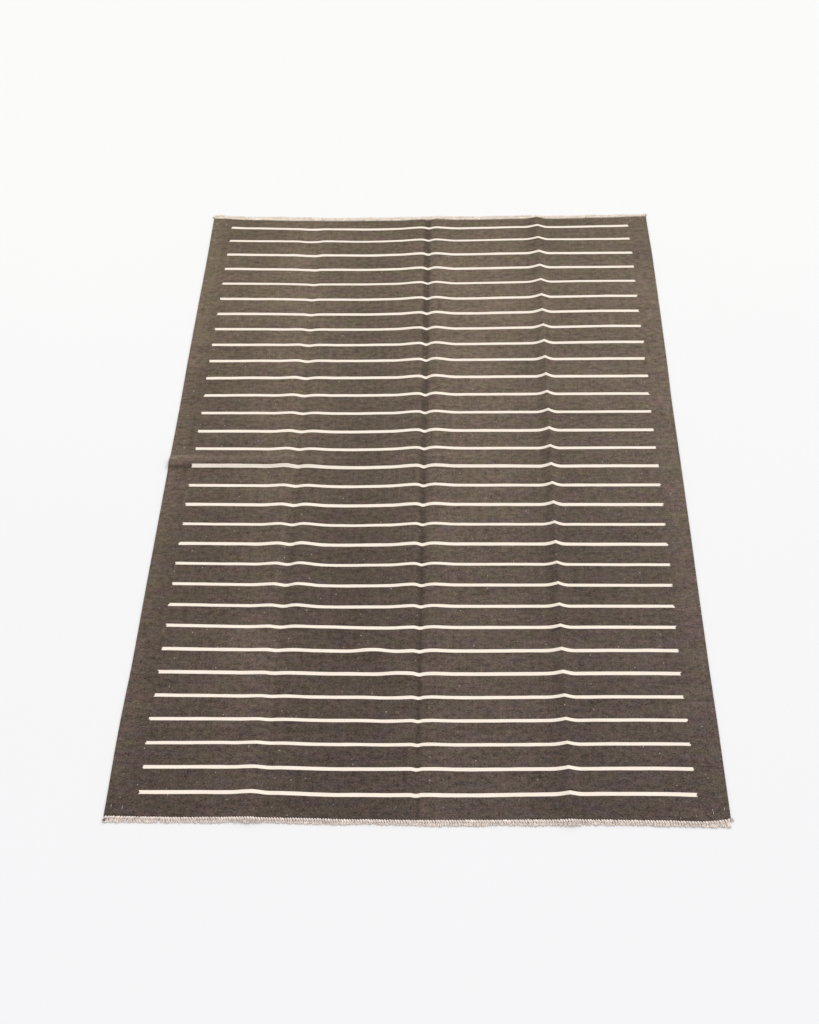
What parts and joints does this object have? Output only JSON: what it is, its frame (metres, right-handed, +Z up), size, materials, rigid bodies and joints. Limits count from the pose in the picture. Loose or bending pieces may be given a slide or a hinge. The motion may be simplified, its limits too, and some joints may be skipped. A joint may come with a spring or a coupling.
{
  "type": "kilim rug",
  "caption": "Large flat-woven rug lying flat on the floor: thin light weft stripes across a dark ground, soft packing creases and a short knotted fringe at each end.",
  "frame": {"origin": "middle of the rug on the floor that it lies on", "axes": "+Z up from the floor, +Y along the rug to its far end, +X across it to the right"},
  "size_m": [2.0049, 3.079, 0.0212],
  "materials": {
    "wool_weave": "matt weft-faced wool, dark brown with thin ivory stripes",
    "warp_yarn": "matt undyed ecru yarn, knotted and cut"
  },
  "bodies": {
    "root": {"kilim_cloth": "wool_weave", "fringe_far": "warp_yarn", "fringe_near": "warp_yarn"}
  },
  "joints": []
}
